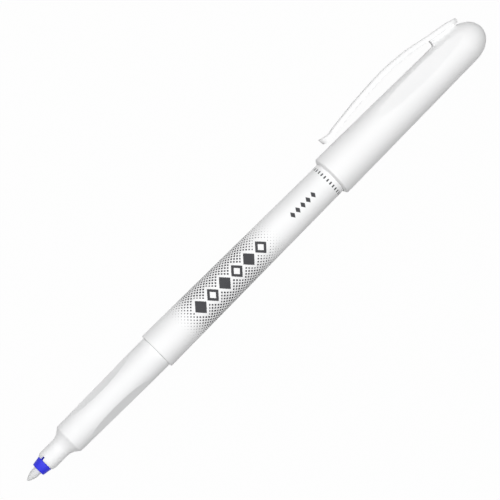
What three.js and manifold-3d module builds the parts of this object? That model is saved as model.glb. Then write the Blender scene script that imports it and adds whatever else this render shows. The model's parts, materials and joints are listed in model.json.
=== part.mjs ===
// Ink eradicator pen, lying on a desk with its cap pushed onto the tail of the barrel.
// Millimetres, +Z up. The pen's axis runs along +X, from the nib to the dome of the cap.
// The origin is the spot on the desk, below the axis, where the cap's widest ring rests.

import * as THREE from "three";
import { mergeVertices } from "three/addons/utils/BufferGeometryUtils.js";
import Module from "manifold-3d";

const wasm = await Module();
wasm.setup();

// Nib: a fibre rod with a bullet tip, whose rear end bites into the reservoir
const nibDiameter = 2.2;
const nibLength = 32;
const nibExposed = 3.64;
const nibTaperLength = 2.8;
const nibTipFlat = 0.3;
const nibRearTaper = 1.5;
const nibBite = 8;

// Nib holder: a short cone in front of the grip section, and a shank inside it
const holderExposed = 2.4;
const holderFrontDiameter = 3.58;
const holderRearDiameter = 4.3;
const holderEdgeRound = 0.2;
const holderShankDiameter = 3.8;
const holderShankLength = 10.5;
const airPathWidth = 0.5;
const airPathDepth = 0.3;

// Grip section: nose, flare, grip with three scooped flats, and the spigot in the barrel
const noseDiameter = 5.22;
const noseLength = 5.4;
const lipRound = 1.4;
const lipSlotLength = 0.85;
const flareLength = 2.83;
const shoulderChamfer = 0.25;
const gripLength = 29.8;
const gripFrontDiameter = 8.24;
const gripRearDiameter = 8.95;
const capSeatLength = 5.5;
const scoopLength = 19.3;
const scoopDepth = 0.39;
const scoopDistance = 13.85;
const throatDiameter = 5.2;
const spigotDiameter = 8.2;
const spigotLength = 9;
const beadHeight = 0.12;
const beadWidth = 1.2;
const beadDistance = 5.5;

// Barrel: a tapered tube with a closed tail
const barrelLength = 86;
const barrelStep = 0.62;
const barrelWall = 0.9;
const barrelEdgeRound = 0.22;
const tailRound = 1.0;
const tailWall = 1.2;
const stopRibLength = 11.3;
const stopRibReach = 1.6;
const stopRibWidth = 0.8;

// Reservoir: a fibre core in a plastic film
const filmThickness = 0.15;

// Cap: its shell, and the liner that seals round the nose when the pen is closed
const postedDepth = 26;
const capTipRoom = 8.8;
const capWall = 1.04;
const capRearDiameter = 10.04;
const capBoreDraft = 0.0094;
const restRingLength = 3.2;
const rimRoundLength = 0.95;
const rimRoundHeight = 0.65;
const domeLength = 6.4;
const domeWall = 1.3;
const hollowDomeLength = 3.0;
const ovalLength = 29.8;
const ovalDepth = 0.46;
const ovalDistance = 33.15;
const linerWall = 0.7;
const linerFlangeThickness = 0.9;
const nibTipRoom = 1.4;
const linerRibWidth = 0.8;

// Clip: a curved strip on a web at the closed end of the cap
const clipFootDistance = 4.35;
const clipRootDistance = 3.65;
const clipFootWidth = 4.2;
const clipRootWidth = 5.0;
const clipFootThickness = 1.38;
const clipThickness = 1.5;
const clipRootThickness = 1.22;
const clipFootGap = 0.97;
const clipCrestGap = 2.86;
const clipTipBevel = 0.2;
const clipTipLift = 0.37;
const clipTipFlare = 0.6;
const clipFlareLength = 2.4;
const clipPadDistance = 1.05;
const clipPadLength = 2.2;
const clipFootCornerRound = 1.8;
const clipRootCornerRound = 2.4;
const clipEndRound = 0.35;
const webLength = 8.5;
const webOverhang = 0.12;
const webWidth = 3.2;
const webSink = 0.5;

// Underside of the clip: how far along it, and its gap to the cap as a share of the crest's
const clipStations = [
  [0.118, 0.479],
  [0.251, 0.723],
  [0.317, 0.833],
  [0.517, 1.0],
  [0.684, 0.867],
  [0.818, 0.513],
  [0.952, 0.2],
  [1.0, 0.0],
];

// Clearances between pieces
const seatGap = 0.05;
const slideGap = 0.05;
const socketGap = 0.08;
const closedCapGap = 0.11;
const postedCapGap = 0.12;
const reservoirGap = 0.15;
const filmGap = 0.03;
const linerGap = 0.12;
const flexGap = 0.3;

// Counts and angles
const shellFacets = 36;
const smallFacets = 24;
const scoopCount = 3;
const lipSlotCount = 2;
const stopRibCount = 4;
const linerRibCount = 6;
const firstScoopFromClip = THREE.MathUtils.degToRad(-25);
const firstLipSlotFromClip = THREE.MathUtils.degToRad(-59);
const ovalFromClip = THREE.MathUtils.degToRad(61);

// Radii that follow from the sizes above
const nibRadius = nibDiameter / 2;
const shankRadius = holderShankDiameter / 2;
const noseRadius = noseDiameter / 2;
const lipRadius = holderRearDiameter / 2;
const gripFrontRadius = gripFrontDiameter / 2;
const gripRearRadius = gripRearDiameter / 2;
const spigotRadius = spigotDiameter / 2;
const socketRadius = spigotRadius + socketGap;
const barrelFrontRadius = gripRearRadius + barrelStep;
const capBoreRadius = gripRearRadius + closedCapGap;
const postedRadius = capBoreRadius - postedCapGap;
const capMouthRadius = capBoreRadius + capWall;
const capRearRadius = capRearDiameter / 2;
const restRadius = capMouthRadius * Math.cos(Math.PI / shellFacets);

// Places along the axis, measured from the tip of the nib
const lipX = nibExposed + holderExposed;
const flareX = lipX + noseLength;
const shoulderX = flareX + flareLength;
const barrelX = shoulderX + gripLength;
const barrelTailX = barrelX + barrelLength;
const spigotEndX = barrelX + spigotLength;
const shankEndX = lipX + holderShankLength;
const reservoirX = nibLength - nibBite;
const reservoirTailX = barrelTailX - tailWall - stopRibLength - reservoirGap;
const capMouthX = barrelTailX - postedDepth;

// Depths inside the cap, measured from its mouth
const capLength = barrelX + capTipRoom;
const domeDepth = capLength - domeLength;
const linerDepth = barrelX - flareX + linerGap;
const linerShoulderDepth = linerDepth + linerFlangeThickness + seatGap;
const linerEndDepth = barrelX + nibTipRoom + linerWall;
const hollowDomeDepth = capLength - domeWall - hollowDomeLength;
const clipRootDepth = capLength - clipRootDistance;
const padStartDepth = clipFootDistance + clipPadDistance;
const padEndDepth = padStartDepth + clipPadLength;
const clipEndDepth = Math.max(...clipOutline().map((point) => point.x));
const webEndDepth = clipEndDepth - webOverhang;
const webDepth = webEndDepth - webLength;
const restDepth = (rimRoundLength + restRingLength) / 2;

// Radius at x on the straight taper between two stations of a turned part
function onTaper(x, startX, startRadius, endX, endRadius) {
  return startRadius + ((endRadius - startRadius) * (x - startX)) / (endX - startX);
}

function gripRadiusAt(x) {
  return onTaper(x, shoulderX, gripFrontRadius, barrelX - capSeatLength, gripRearRadius);
}

function barrelRadiusAt(x) {
  return onTaper(x, barrelX, barrelFrontRadius, capMouthX, postedRadius);
}

function barrelBoreAt(x) {
  return barrelRadiusAt(x) - barrelWall;
}

function capBoreAt(depth) {
  return capBoreRadius - capBoreDraft * depth;
}

function capTaperAt(depth) {
  return onTaper(depth, restRingLength, capMouthRadius, domeDepth, capRearRadius);
}

function domeRadiusAt(depth) {
  const share = (depth - domeDepth) / domeLength;
  return capRearRadius * Math.sqrt(1 - share * share);
}

function clipThicknessAt(depth) {
  const crestDepth = (padEndDepth + clipRootDepth) / 2;
  if (depth < crestDepth) {
    return onTaper(depth, padEndDepth, clipFootThickness, crestDepth, clipThickness);
  }
  return onTaper(depth, crestDepth, clipThickness, clipRootDepth, clipRootThickness);
}

function clipHalfWidthAt(depth) {
  const startDepth = clipFootDistance + clipFootCornerRound;
  const endDepth = clipEndDepth - clipRootCornerRound;
  return onTaper(depth, startDepth, clipFootWidth / 2, endDepth, clipRootWidth / 2);
}

// Points on a quarter ellipse about (centreX, centreRadius), from one angle to another
function quarterRound(centreX, centreRadius, alongX, outward, startDegrees, endDegrees, steps) {
  const points = [];
  for (let step = 0; step <= steps; step += 1) {
    const angle = THREE.MathUtils.degToRad(startDegrees + ((endDegrees - startDegrees) * step) / steps);
    points.push([centreX + alongX * Math.cos(angle), centreRadius + outward * Math.sin(angle)]);
  }
  return points;
}

// Turned part: [x, radius] points, the outside from nib to cap and the inside back again.
// Half a facet of turn puts one flat facet straight down.
function turnedPart(profile, facets) {
  const points = profile.map(([x, radius]) => new THREE.Vector2(radius, x));
  const halfFacet = Math.PI / facets;
  const geometry = new THREE.LatheGeometry(points, facets, halfFacet, 2 * Math.PI);
  return geometry.rotateZ(-Math.PI / 2);
}

// Closed outline of a hollow turned part: its last point meets its first
function closedProfile(points) {
  return [...points, points[0]];
}

// Turns a geometry that points up (+Z) so that it points at an angle from up towards +Y
function facing(geometry, angle) {
  return geometry.rotateX(-angle);
}

// Solid for joining and cutting, from any closed geometry
function solidOf(geometry) {
  const bare = geometry.clone();
  bare.deleteAttribute("normal");
  bare.deleteAttribute("uv");
  const merged = mergeVertices(bare);
  const index = merged.index.array;
  const triangles = [];
  for (let start = 0; start < index.length; start += 3) {
    const [a, b, c] = [index[start], index[start + 1], index[start + 2]];
    if (a !== b && b !== c && c !== a) {
      triangles.push(a, b, c);
    }
  }
  const vertProperties = new Float32Array(merged.attributes.position.array);
  const triVerts = new Uint32Array(triangles);
  return new wasm.Manifold(new wasm.Mesh({ numProp: 3, vertProperties, triVerts }));
}

function geometryOf(solid) {
  const mesh = solid.getMesh();
  const geometry = new THREE.BufferGeometry();
  geometry.setAttribute("position", new THREE.BufferAttribute(mesh.vertProperties, 3));
  geometry.setIndex(new THREE.BufferAttribute(mesh.triVerts, 1));
  const faceted = geometry.toNonIndexed();
  faceted.computeVertexNormals();
  return faceted;
}

// Plate whose side outline is drawn along the axis and up, and which is width wide across
function sidePlate(shape, width, curveSegments) {
  const settings = { depth: width, bevelEnabled: false, curveSegments };
  const geometry = new THREE.ExtrudeGeometry(shape, settings);
  geometry.translate(0, 0, -width / 2);
  return geometry.rotateX(Math.PI / 2);
}

// Rib or slot: a box from one radius to another, along the axis from startX to endX
function radialBar(startX, endX, innerRadius, outerRadius, width, angle) {
  const bar = new THREE.BoxGeometry(endX - startX, width, outerRadius - innerRadius);
  bar.translate((startX + endX) / 2, 0, (innerRadius + outerRadius) / 2);
  return facing(bar, angle);
}

// Cutter for a shallow scoop: length long and depth deep in a surface of this radius and slope
function scoopCutter(centreX, surfaceRadius, slope, length, depth, angle) {
  const arcRadius = (length * length) / (8 * depth);
  const halfLength = 0.6 * length;
  const halfArc = Math.asin(halfLength / arcRadius);
  const down = -Math.PI / 2;
  const shape = new THREE.Shape();
  shape.absarc(0, arcRadius - depth, arcRadius, down - halfArc, down + halfArc, false);
  shape.lineTo(halfLength, surfaceRadius);
  shape.lineTo(-halfLength, surfaceRadius);
  const cutter = sidePlate(shape, 4 * surfaceRadius, 7);
  cutter.rotateY(-Math.atan(slope));
  cutter.translate(centreX, 0, surfaceRadius);
  return facing(cutter, angle);
}

// Underside of the strip as a smooth curve of [depth, height above the axis]
function clipUnderside() {
  const span = clipRootDepth - clipFootDistance;
  const stations = clipStations.map(([share, gapShare]) => {
    const depth = clipFootDistance + share * span;
    return new THREE.Vector2(depth, capTaperAt(depth) + gapShare * clipCrestGap);
  });
  const padEnd = new THREE.Vector2(padEndDepth, capTaperAt(padEndDepth) + clipFootGap);
  return new THREE.SplineCurve([padEnd, ...stations]);
}

// Side outline of the whole clip, from the bevelled tip of the foot to the end of the root
function clipOutline() {
  const curve = clipUnderside();
  const steps = 22;
  const under = curve.getPoints(steps);
  const over = under.map((point, step) => {
    const tangent = curve.getTangent(step / steps);
    const normal = new THREE.Vector2(-tangent.y, tangent.x);
    return point.clone().addScaledVector(normal, clipThicknessAt(point.x));
  });
  const padHeight = under[0].y;
  const footTop = padHeight + clipFootThickness;
  const rootMiddle = under[steps].clone().add(over[steps]).multiplyScalar(0.5);
  const rootTangent = curve.getTangent(1);
  const rootNormal = new THREE.Vector2(-rootTangent.y, rootTangent.x);
  const rootEnd = [-45, 0, 45].map((degrees) => {
    const angle = THREE.MathUtils.degToRad(degrees);
    const point = rootMiddle.clone().addScaledVector(rootTangent, clipEndRound * Math.cos(angle));
    return point.addScaledVector(rootNormal, (clipRootThickness / 2) * Math.sin(angle));
  });
  return [
    new THREE.Vector2(clipFootDistance + clipTipBevel, padHeight + clipTipLift),
    new THREE.Vector2(padStartDepth, padHeight),
    ...under,
    ...rootEnd,
    ...over.reverse(),
    new THREE.Vector2(clipFootDistance + clipFlareLength, footTop),
    new THREE.Vector2(clipFootDistance, footTop + clipTipFlare),
  ];
}

// Plan outline of the clip: it widens evenly between the rounded corners of the foot and of the root
function clipPlan() {
  const footX = clipFootDistance + clipFootCornerRound;
  const rootX = clipEndDepth - clipRootCornerRound;
  const footEdge = clipFootWidth / 2 - clipFootCornerRound;
  const rootEdge = clipRootWidth / 2 - clipRootCornerRound;
  const degrees = THREE.MathUtils.degToRad;
  const plan = new THREE.Shape();
  plan.absarc(footX, footEdge, clipFootCornerRound, degrees(90), degrees(180), false);
  plan.absarc(footX, -footEdge, clipFootCornerRound, degrees(180), degrees(270), false);
  plan.absarc(rootX, -rootEdge, clipRootCornerRound, degrees(270), degrees(360), false);
  plan.absarc(rootX, rootEdge, clipRootCornerRound, degrees(0), degrees(90), false);
  return plan;
}

// The part of a side outline's plate that lies within the clip's plan
function withinClipPlan(sideOutline, width) {
  const side = sidePlate(new THREE.Shape(sideOutline), width, 1);
  const settings = { depth: 4 * capMouthRadius, bevelEnabled: false, curveSegments: 4 };
  const plan = new THREE.ExtrudeGeometry(clipPlan(), settings);
  return solidOf(side).intersect(solidOf(plan));
}

// The whole strip, foot to root, with its underside towards the axis and its top up
function clipStrip() {
  return withinClipPlan(clipOutline(), 2 * clipRootWidth);
}

// Everything from one depth to another, as a block to cut the strip with
function depthBlock(startDepth, endDepth) {
  const size = 4 * capMouthRadius;
  const block = new THREE.BoxGeometry(endDepth - startDepth, size, size);
  block.translate((startDepth + endDepth) / 2, 0, size / 2);
  return solidOf(block);
}

// The pen lies with its clip against the desk: the clip's angle from up towards +Y
function clipAngleAtRest() {
  const angles = clipOutline().map((point) => {
    const halfWidth = clipHalfWidthAt(point.x);
    const reach = Math.hypot(point.y, halfWidth);
    return Math.atan2(halfWidth, point.y) + Math.acos(Math.min(1, restRadius / reach));
  });
  return Math.PI - Math.max(...angles);
}

const clipAngle = clipAngleAtRest();

function nibGeometry() {
  const taper = [0.08, 0.2, 0.36, 0.55, 0.75, 1].map((share) => {
    const rest = 1 - share;
    return [share * nibTaperLength, nibRadius * (1 - rest * rest)];
  });
  const profile = [
    [0, 0],
    [0, nibTipFlat / 2],
    ...taper,
    [nibLength - nibRearTaper, nibRadius],
    [nibLength, nibRadius / 2],
    [nibLength, 0],
  ];
  return turnedPart(profile, smallFacets);
}

function holderGeometry() {
  const bore = nibRadius + slideGap;
  const frontRadius = holderFrontDiameter / 2;
  const coneEndX = lipX - seatGap;
  const edge = quarterRound(
    nibExposed + holderEdgeRound,
    frontRadius - holderEdgeRound,
    holderEdgeRound,
    holderEdgeRound,
    180,
    90,
    3,
  );
  const shell = turnedPart(
    closedProfile([
      [nibExposed, bore],
      ...edge,
      [coneEndX, lipRadius],
      [coneEndX, shankRadius],
      [shankEndX, shankRadius],
      [shankEndX, bore],
    ]),
    smallFacets,
  );
  let holder = solidOf(shell);
  for (let count = 0; count < lipSlotCount; count += 1) {
    const angle = clipAngle + firstLipSlotFromClip + (count * 2 * Math.PI) / lipSlotCount;
    const floor = shankRadius - airPathDepth;
    const flute = radialBar(lipX, shankEndX + 1, floor, noseRadius, airPathWidth, angle);
    holder = holder.subtract(solidOf(flute));
  }
  return geometryOf(holder);
}

function gripSectionGeometry() {
  const nose = quarterRound(lipX + lipRound, lipRadius, lipRound, noseRadius - lipRadius, 180, 90, 4);
  const flareStart = new THREE.Vector2(flareX, noseRadius);
  const flareRise = gripFrontRadius - shoulderChamfer / 4 - noseRadius;
  const flareTurn = new THREE.Vector2(flareX + flareLength / 2, noseRadius + 0.18 * flareRise);
  const flareEnd = new THREE.Vector2(shoulderX - shoulderChamfer, noseRadius + flareRise);
  const flare = new THREE.QuadraticBezierCurve(flareStart, flareTurn, flareEnd);
  const flarePoints = flare.getPoints(5).map((point) => [point.x, point.y]);
  const beadX = barrelX + beadDistance;
  const shankBore = shankRadius + slideGap;
  const reservoirBore = filmRadius + reservoirGap / 2;
  const throatX = shankEndX + slideGap;
  const ledgeX = reservoirX - reservoirGap;
  const gripEndX = barrelX - seatGap;
  const shell = turnedPart(
    closedProfile([
      [lipX, shankBore],
      ...nose,
      ...flarePoints,
      [shoulderX, gripFrontRadius],
      [barrelX - capSeatLength, gripRearRadius],
      [gripEndX, gripRearRadius],
      [gripEndX, spigotRadius],
      [beadX - beadWidth / 2, spigotRadius],
      [beadX, spigotRadius + beadHeight],
      [beadX + beadWidth / 2, spigotRadius],
      [spigotEndX - beadWidth / 2, spigotRadius],
      [spigotEndX, spigotRadius - beadHeight],
      [spigotEndX, reservoirBore],
      [ledgeX, reservoirBore],
      [ledgeX, throatDiameter / 2],
      [throatX, throatDiameter / 2],
      [throatX, shankBore],
    ]),
    shellFacets,
  );
  const scoopX = shoulderX + scoopDistance;
  const gripSlope = (gripRearRadius - gripFrontRadius) / (barrelX - capSeatLength - shoulderX);
  let section = solidOf(shell);
  for (let count = 0; count < scoopCount; count += 1) {
    const angle = clipAngle + firstScoopFromClip + (count * 2 * Math.PI) / scoopCount;
    const cutter = scoopCutter(scoopX, gripRadiusAt(scoopX), gripSlope, scoopLength, scoopDepth, angle);
    section = section.subtract(solidOf(cutter));
  }
  for (let count = 0; count < lipSlotCount; count += 1) {
    const angle = clipAngle + firstLipSlotFromClip + (count * 2 * Math.PI) / lipSlotCount;
    const floor = shankRadius - airPathDepth;
    const slotEndX = lipX + lipSlotLength;
    const slot = radialBar(lipX - lipSlotLength, slotEndX, floor, 2 * noseRadius, airPathWidth, angle);
    section = section.subtract(solidOf(slot));
  }
  return geometryOf(section);
}

function barrelGeometry() {
  const frontEdge = quarterRound(
    barrelX + barrelEdgeRound,
    barrelFrontRadius - barrelEdgeRound,
    barrelEdgeRound,
    barrelEdgeRound,
    180,
    90,
    3,
  );
  const tailRadius = barrelRadiusAt(barrelTailX);
  const tailEdge = quarterRound(
    barrelTailX - tailRound,
    tailRadius - tailRound,
    tailRound,
    tailRound,
    90,
    0,
    4,
  );
  const grooveX = barrelX + beadDistance;
  const grooveDepth = beadHeight + socketGap / 2;
  const tailFloorX = barrelTailX - tailWall;
  const socketEndX = spigotEndX + seatGap;
  const shell = turnedPart(
    closedProfile([
      [barrelX, socketRadius],
      ...frontEdge,
      ...tailEdge,
      [barrelTailX, 0],
      [tailFloorX, 0],
      [tailFloorX, barrelBoreAt(tailFloorX)],
      [socketEndX, barrelBoreAt(socketEndX)],
      [socketEndX, socketRadius],
      [grooveX + beadWidth, socketRadius],
      [grooveX + beadWidth / 3, socketRadius + grooveDepth],
      [grooveX - beadWidth / 3, socketRadius + grooveDepth],
      [grooveX - beadWidth, socketRadius],
    ]),
    shellFacets,
  );
  let barrel = solidOf(shell);
  for (let count = 0; count < stopRibCount; count += 1) {
    const angle = clipAngle + (count * 2 * Math.PI) / stopRibCount;
    const startX = reservoirTailX + reservoirGap;
    const endX = tailFloorX + tailWall / 2;
    const wallInside = barrelBoreAt(endX);
    const ribTip = wallInside - stopRibReach;
    const ribFoot = wallInside + barrelWall / 2;
    const rib = radialBar(startX, endX, ribTip, ribFoot, stopRibWidth, angle);
    barrel = barrel.add(solidOf(rib));
  }
  return geometryOf(barrel);
}

const filmRadius = barrelBoreAt(reservoirTailX) * Math.cos(Math.PI / shellFacets) - reservoirGap;
const coreRadius = filmRadius - filmThickness - filmGap;

function reservoirCoreGeometry() {
  const bore = nibRadius + filmGap;
  const holeEndX = nibLength + filmGap;
  const profile = closedProfile([
    [reservoirX, bore],
    [reservoirX, coreRadius],
    [reservoirTailX, coreRadius],
    [reservoirTailX, 0],
    [holeEndX, 0],
    [holeEndX, bore],
  ]);
  return turnedPart(profile, smallFacets);
}

function reservoirFilmGeometry() {
  const innerRadius = filmRadius - filmThickness;
  const profile = closedProfile([
    [reservoirX, innerRadius],
    [reservoirX, filmRadius],
    [reservoirTailX, filmRadius],
    [reservoirTailX, innerRadius],
  ]);
  return turnedPart(profile, smallFacets);
}

function capShellGeometry() {
  const rim = quarterRound(
    rimRoundLength,
    capMouthRadius - rimRoundHeight,
    rimRoundLength,
    rimRoundHeight,
    180,
    90,
    4,
  );
  const dome = quarterRound(domeDepth, 0, domeLength, capRearRadius, 90, 0, 9);
  const hollowRadius = capRearRadius - capWall;
  const hollowDome = quarterRound(hollowDomeDepth, 0, hollowDomeLength, hollowRadius, 0, 90, 4);
  const shell = turnedPart(
    closedProfile([
      [0, capBoreRadius],
      ...rim,
      [restRingLength, capMouthRadius],
      ...dome,
      ...hollowDome,
      [linerShoulderDepth, hollowRadius],
      [linerShoulderDepth, capBoreAt(linerShoulderDepth)],
    ]),
    shellFacets,
  );
  const slope = (capRearRadius - capMouthRadius) / (domeDepth - restRingLength);
  let cap = solidOf(shell);
  for (const side of [-1, 1]) {
    const angle = clipAngle + side * ovalFromClip;
    const radius = capTaperAt(ovalDistance);
    const cutter = scoopCutter(ovalDistance, radius, slope, ovalLength, ovalDepth, angle);
    cap = cap.subtract(solidOf(cutter));
  }
  const ribStart = linerShoulderDepth + seatGap;
  const ribInner = linerRadius + linerGap;
  for (let count = 0; count < linerRibCount; count += 1) {
    const angle = clipAngle + (count * 2 * Math.PI) / linerRibCount;
    const ribOuter = hollowRadius + capWall / 3;
    const rib = radialBar(ribStart, hollowDomeDepth, ribInner, ribOuter, linerRibWidth, angle);
    cap = cap.add(solidOf(rib));
  }
  cap = cap.add(solidOf(facing(geometryOf(clipRoot()), clipAngle)));
  return geometryOf(cap);
}

// The part of the clip that never bends: the web on the cap, and the root that it carries
function clipRoot() {
  const curve = clipUnderside().getPoints(40);
  const undersideAt = (depth) => {
    const next = curve.findIndex((point) => point.x >= depth);
    return curve[next].y;
  };
  const lap = clipRootThickness / 3;
  const webOutline = [
    new THREE.Vector2(webDepth, capTaperAt(webDepth) - webSink),
    new THREE.Vector2(webEndDepth, domeRadiusAt(webEndDepth) - webSink),
    new THREE.Vector2(webEndDepth, undersideAt(clipRootDepth) + lap),
    new THREE.Vector2(webDepth, undersideAt(webDepth) + lap),
  ];
  const root = clipStrip().intersect(depthBlock(webDepth, capLength));
  return root.add(withinClipPlan(webOutline, webWidth));
}

const linerBore = noseRadius + slideGap;
const linerRadius = linerBore + linerWall;

function innerCapGeometry() {
  const flangeRadius = capBoreAt(linerDepth) * Math.cos(Math.PI / shellFacets) - linerGap;
  const profile = closedProfile([
    [linerDepth, linerBore],
    [linerDepth, flangeRadius],
    [linerDepth + linerFlangeThickness, flangeRadius],
    [linerDepth + linerFlangeThickness, linerRadius],
    [linerEndDepth - linerWall / 2, linerRadius],
    [linerEndDepth, linerRadius - linerWall / 2],
    [linerEndDepth, 0],
    [linerEndDepth - linerWall, 0],
    [linerEndDepth - linerWall, linerBore],
  ]);
  return turnedPart(profile, smallFacets);
}

function clipGeometry() {
  const free = clipStrip().intersect(depthBlock(0, webDepth - flexGap));
  return facing(geometryOf(free), clipAngle);
}

// One named piece with its own material
function piece(name, geometry, color, roughness) {
  const material = new THREE.MeshStandardMaterial({ color, roughness, metalness: 0 });
  const mesh = new THREE.Mesh(geometry, material);
  mesh.name = name;
  return mesh;
}

const whitePlastic = 0xf4f4f3;

const cap = new THREE.Group();
cap.position.x = capMouthX;
cap.add(piece("cap_shell", capShellGeometry(), whitePlastic, 0.35));
cap.add(piece("clip", clipGeometry(), whitePlastic, 0.35));
cap.add(piece("inner_cap", innerCapGeometry(), 0xe6e7e8, 0.45));

const pen = new THREE.Group();
pen.position.set(-capMouthX - restDepth, 0, restRadius);
pen.add(piece("nib", nibGeometry(), 0xd9dad8, 0.85));
pen.add(piece("nib_holder", holderGeometry(), 0x3d3bd6, 0.4));
pen.add(piece("grip_section", gripSectionGeometry(), whitePlastic, 0.4));
pen.add(piece("barrel", barrelGeometry(), whitePlastic, 0.35));
pen.add(piece("reservoir_core", reservoirCoreGeometry(), 0xefeee8, 0.95));
pen.add(piece("reservoir_film", reservoirFilmGeometry(), 0xdfe3e6, 0.3));
pen.add(cap);

export default pen;
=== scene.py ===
# %% [markdown]
# This lesson dresses an ink eradicator pen. The pen lies on a pale desk with its cap on its tail. Its
# hard frame is already made: every piece sits at its real place and size, in metres, with the pen's
# axis along X from the nib to the cap. We load it first, keep the numbers that we need, and then model
# each visible piece again with smooth surfaces, rounded edges and a finish of its own.

import json
import math

import bmesh
import bpy
from mathutils import Matrix, Vector


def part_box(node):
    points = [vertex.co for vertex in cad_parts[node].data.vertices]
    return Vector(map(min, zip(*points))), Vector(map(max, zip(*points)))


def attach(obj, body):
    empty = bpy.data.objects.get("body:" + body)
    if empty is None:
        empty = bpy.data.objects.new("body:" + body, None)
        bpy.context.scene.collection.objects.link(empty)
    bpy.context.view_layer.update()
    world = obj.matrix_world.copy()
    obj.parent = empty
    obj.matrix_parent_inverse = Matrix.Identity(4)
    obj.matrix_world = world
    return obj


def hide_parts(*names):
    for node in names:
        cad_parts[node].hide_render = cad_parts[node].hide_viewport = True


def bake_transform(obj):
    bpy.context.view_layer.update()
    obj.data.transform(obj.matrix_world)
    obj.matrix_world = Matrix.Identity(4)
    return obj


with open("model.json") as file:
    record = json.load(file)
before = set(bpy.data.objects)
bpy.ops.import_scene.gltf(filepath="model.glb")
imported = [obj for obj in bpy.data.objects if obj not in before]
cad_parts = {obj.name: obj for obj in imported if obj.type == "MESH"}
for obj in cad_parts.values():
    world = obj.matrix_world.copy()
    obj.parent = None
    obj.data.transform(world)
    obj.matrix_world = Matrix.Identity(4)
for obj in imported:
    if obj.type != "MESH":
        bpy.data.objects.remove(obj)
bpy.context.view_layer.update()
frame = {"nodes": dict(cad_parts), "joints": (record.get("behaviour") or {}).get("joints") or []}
print("nodes:", sorted(frame["nodes"]))

# %% [markdown]
# Places come from the frame, so that each new piece lands on the solid that it stands for. The drawing
# below is in millimetres from the tip of the nib, as a pen maker would dimension it, and a helper turns
# metres into those. The cap turns about the pen's axis, so that joint tells how high the axis lies, and
# the clip's joint tells in which direction the clip points.

# %% Places along the pen
MM = 0.001
joints = {joint["name"]: joint for joint in frame["joints"]}
axis_height = joints["cap_turn"]["pos_m"][2]
nib_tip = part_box("nib")[0].x


def from_tip(x):
    """Millimetres from the tip of the nib, for a place along X in metres."""
    return (x - nib_tip) / MM


holder_x = from_tip(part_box("nib_holder")[0].x)
lip_x = from_tip(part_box("grip_section")[0].x)
barrel_x = from_tip(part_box("barrel")[0].x)
tail_x = from_tip(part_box("barrel")[1].x)
mouth_x = from_tip(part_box("cap_shell")[0].x)
dome_x = from_tip(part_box("cap_shell")[1].x)
liner_x = from_tip(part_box("inner_cap")[0].x)
liner_end_x = from_tip(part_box("inner_cap")[1].x)

clip_from_camera = math.radians(87)
flex_axis = Vector(joints["clip_flex"]["axis"])
clip_direction = Vector((1, 0, 0)).cross(flex_axis).normalized()
if clip_direction.z > 0:
    clip_direction.negate()
clip_angle = math.atan2(clip_direction.y, clip_direction.z)
facing_angle = clip_angle - clip_from_camera
print("axis height in mm:", round(axis_height / MM, 3))
print("clip at degrees:", round(math.degrees(clip_angle), 2))
print("stations", [round(x, 2) for x in (holder_x, lip_x, barrel_x, mouth_x, tail_x, dome_x)])

# %% [markdown]
# Most of a pen is turned: a profile spun about the axis. A profile is easiest to read as a short list of
# corners, each with its own rounding, because that is how the mould is cut. This helper swaps each
# rounded corner for a few points on an arc. Long straight runs get extra points too, so that the faces
# stay close to square and a later cut or press has corners to work with.

# %% Profile helpers
ARC_STEPS = 6


def part_way(start, end, share):
    return start + (end - start) * share


def corner_arc(before, corner, after, rounding):
    """Points on the arc that rounds one corner of an outline."""
    to_before = (Vector(before) - Vector(corner)).normalized()
    to_after = (Vector(after) - Vector(corner)).normalized()
    half_angle = to_before.angle(to_after) / 2
    setback = rounding / math.tan(half_angle)
    centre = Vector(corner) + (to_before + to_after).normalized() * (rounding / math.sin(half_angle))
    start = Vector(corner) + to_before * setback - centre
    end = Vector(corner) + to_after * setback - centre
    turn = start.angle_signed(end)
    points = []
    for step in range(ARC_STEPS + 1):
        angle = -turn * step / ARC_STEPS
        x = start.x * math.cos(angle) - start.y * math.sin(angle)
        y = start.x * math.sin(angle) + start.y * math.cos(angle)
        points.append((centre.x + x, centre.y + y))
    return points


def rounded(corners, closed):
    """Outline points from corners given as (x, radius) or (x, radius, rounding)."""
    points = []
    count = len(corners)
    for place, corner in enumerate(corners):
        at_end = not closed and place in (0, count - 1)
        if len(corner) == 2 or at_end:
            points.append((corner[0], corner[1]))
            continue
        before = corners[place - 1][:2]
        after = corners[(place + 1) % count][:2]
        points.extend(corner_arc(before, corner[:2], after, corner[2]))
    return points


def spaced(points, closed, spacing):
    """The same outline with extra points, so that no stretch is longer than the spacing."""
    ends = points[1:] + points[:1] if closed else points[1:]
    result = []
    for start, end in zip(points, ends):
        length = math.dist(start, end)
        pieces = max(1, math.ceil(length / spacing))
        for step in range(pieces):
            share = step / pieces
            result.append((part_way(start[0], end[0], share), part_way(start[1], end[1], share)))
    return result if closed else result + [points[-1]]


def quarter(centre_x, centre_radius, along, outward, start, end, steps):
    """Points on part of an ellipse about a centre, from one angle to another in degrees."""
    points = []
    for step in range(steps + 1):
        angle = math.radians(start + (end - start) * step / steps)
        points.append((centre_x + along * math.cos(angle), centre_radius + outward * math.sin(angle)))
    return points


print("a rounding of 1 mm:", corner_arc((2, 0), (0, 0), (0, 2), 1)[::ARC_STEPS])

# %% [markdown]
# The turning itself is done as by hand: a small plane is collapsed to one corner, that corner is pulled
# out again and again to draw the profile, and the spin tool sweeps the line round the axis. Spinning
# leaves doubled corners on the axis and where the sweep closes, so they are merged before the faces are
# made to point outwards.

# %% Turning a profile
TURN_STEPS = 160
MERGE_DISTANCE = 0.002 * MM
SHARP_ANGLE = math.radians(32)


def deselect_all():
    bpy.ops.object.select_all(action="DESELECT")


def select_only(piece):
    deselect_all()
    piece.select_set(True)
    bpy.context.view_layer.objects.active = piece


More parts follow.
